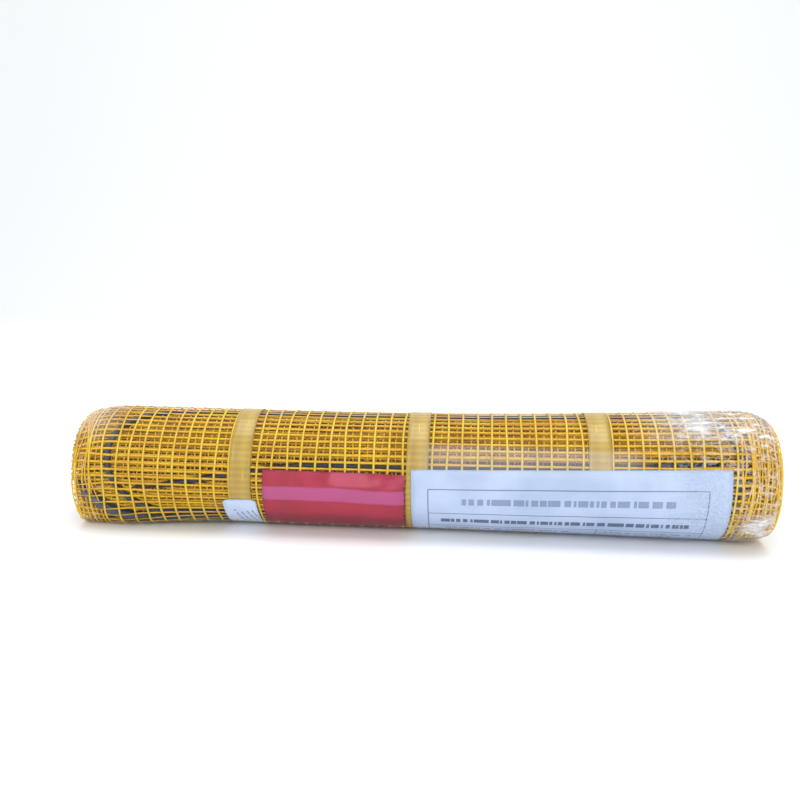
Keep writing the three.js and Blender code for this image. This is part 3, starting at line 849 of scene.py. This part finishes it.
cable_label = bent_card("cable_label_sheet", label_finish, 0.0235, 0.040, -0.1220, -20.3, np.radians(2.5),
                         0.002)
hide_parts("cable_label")

# Shrink film.
# Clear film shrunk tight round the whole roll, open at both ends round the bore. It lies smooth over the
# middle, in fine creases where it crosses the cable and the cards, and crumples at both ends.
film_end = 0.2438


def ripple_field(u, v, size_u, size_v, seed):
    """Smooth noise from 0 to 1 over a map whose v goes round once from 0 to 1: random values on a coarse
    lattice, joined by smooth steps."""
    field_dice = np.random.default_rng(seed)
    lattice = field_dice.random((size_u + 1, size_v))
    place_u = np.clip(u, 0, 1) * (size_u - 1e-6)
    place_v = (v % 1.0) * size_v
    low_u, low_v = place_u.astype(int), place_v.astype(int) % size_v
    step_u, step_v = place_u - low_u, place_v - np.floor(place_v)
    step_u, step_v = (step * step * (3 - 2 * step) for step in (step_u, step_v))
    next_v = (low_v + 1) % size_v
    near = lattice[low_u, low_v] * (1 - step_v) + lattice[low_u, next_v] * step_v
    far = lattice[low_u + 1, low_v] * (1 - step_v) + lattice[low_u + 1, next_v] * step_v
    return near * (1 - step_u) + far * step_u


end_depths = np.array([
    0.0245, 0.0210, 0.0170, 0.0130, 0.0095, 0.0075, 0.0058, 0.0044, 0.0030, 0.0018, 0.0008, 0.0,
])
end_insets = np.array([
    0.0010, 0.0004, 0.0001, 0.0000, 0.0000, 0.0001, 0.0004, 0.0009, 0.0016, 0.0027, 0.0042, 0.0060,
])
body_x = np.linspace(-film_end + 0.0075, film_end - 0.0075, 330)
film_x = np.concatenate([-film_end + end_insets, body_x, film_end - end_insets[::-1]])
film_depth = np.concatenate([end_depths, np.zeros(len(body_x)), end_depths[::-1]])
film_angle = np.linspace(-180, 180, 240, endpoint=False)
grid_x, grid_angle = np.meshgrid(film_x, film_angle, indexing="ij")
grid_depth = np.broadcast_to(film_depth[:, None], grid_x.shape)
film_u = (grid_x + film_end) / (2 * film_end)
film_v = (grid_angle + 180) / 360
end_share = np.clip((np.abs(grid_x) - 0.175) / 0.06, 0, 1) ** 1.5
right_top = np.exp(-(((grid_x - 0.20) / 0.055) ** 2 + ((grid_angle - 95) / 45) ** 2))
fold = 1 - np.abs(2 * ripple_field(film_u, film_v, 90, 46, 3) - 1)
crease = 1 - np.abs(2 * ripple_field(film_u + 0.1 * film_v, film_v, 40, 30, 5) - 1)
soft = ripple_field(film_u, film_v, 24, 14, 9)
crumple = (0.07 + 1.0 * end_share + 1.0 * right_top) * (0.00055 * fold ** 2 + 0.0008 * crease ** 3)
film_rise = 0.00015 - crumple + 0.0004 * (soft - 0.5)
film_points = settled(grid_x, grid_angle, np.maximum(grid_depth + 0.0002 - 0.3 * film_rise, 0.00002))

film_finish, film_shader = finish_named("shrink_film", {
    "Base Color": (0.90, 0.94, 1.0), "IOR": 1.45, "Specular IOR Level": 0.5,
})
film_place = coordinates(film_finish)
film_along, film_front, film_up = film_place.parts()
film_fold = film_place.noise(180, 5, 0.62, (0.7, 1, 1))
film_crease = film_fold.math("SUBTRACT", 0.5).math("ABSOLUTE").rise(0.055, 0.0)
film_broad = film_place.noise(34, 3, 0.5, (0.6, 1, 1))
film_top = film_up.rise(0.070, 0.081)
film_foot = film_up.rise(0.034, 0.020)
film_right = film_along.rise(0.135, 0.200)
film_left = film_along.rise(-0.200, -0.236)
film_haze = stripe(film_along, 0.006, 0.150, 0.012) * stripe(film_up, 0.050, 0.068, 0.003)
film_haze = film_haze * film_front.rise(0, -0.01)
film_patch = film_broad.rise(0.44, 0.62)
film_streak = film_place.noise(260, 4, 0.6, (0.35, 1, 1)).rise(0.50, 0.68)
# The film turns whitish in a faint band of haze across the front. White patches and streaks on the right top,
# on both ends and in the creases on the right are painted highlights.
film_haze_and_painted_highlights = film_haze * 0.13 + film_right * film_top * (0.14 + film_patch * 0.32 + film_streak * 0.34)
film_haze_and_painted_highlights = film_haze_and_painted_highlights + film_along.rise(0.205, 0.236) * (film_streak * 0.30 + film_foot * film_patch * 0.6)
film_haze_and_painted_highlights = film_haze_and_painted_highlights + film_left * (film_streak * 0.10 + film_up.rise(0.060, 0.078) * 0.16)
film_haze_and_painted_highlights = film_haze_and_painted_highlights + film_right * film_crease * 0.20
film_gloss = film_place.node("ShaderNodeFresnel", None, {"IOR": 1.35})
film_cover = (film_gloss * 0.26 + film_haze_and_painted_highlights + 0.008).math("MINIMUM", 0.85)
film_relief = film_fold * 0.5 + film_broad * 0.8
feed(film_shader, Roughness=0.20 + film_haze_and_painted_highlights * 0.6, Normal=film_relief.bump(0.35, 0.0010))
film_tree = film_finish.node_tree
film_clear = film_tree.nodes.new("ShaderNodeBsdfTransparent")
film_blend = film_tree.nodes.new("ShaderNodeMixShader")
film_tree.links.new(film_cover.socket, film_blend.inputs[0])
film_tree.links.new(film_clear.outputs[0], film_blend.inputs[1])
film_tree.links.new(film_shader.outputs[0], film_blend.inputs[2])
film_tree.links.new(film_blend.outputs[0], film_tree.nodes["Material Output"].inputs["Surface"])

film_faces = grid_faces(*grid_x.shape, wrap_columns=True).reshape(-1, 4)
film_uv = np.stack([grid_x, np.radians(grid_angle) * mean_radius], axis=-1)
film = surface("shrink_film_wrap", film_points, outside_out(film_points, film_faces), film_finish, uv=film_uv)
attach(film, "root")
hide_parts("shrink_film")
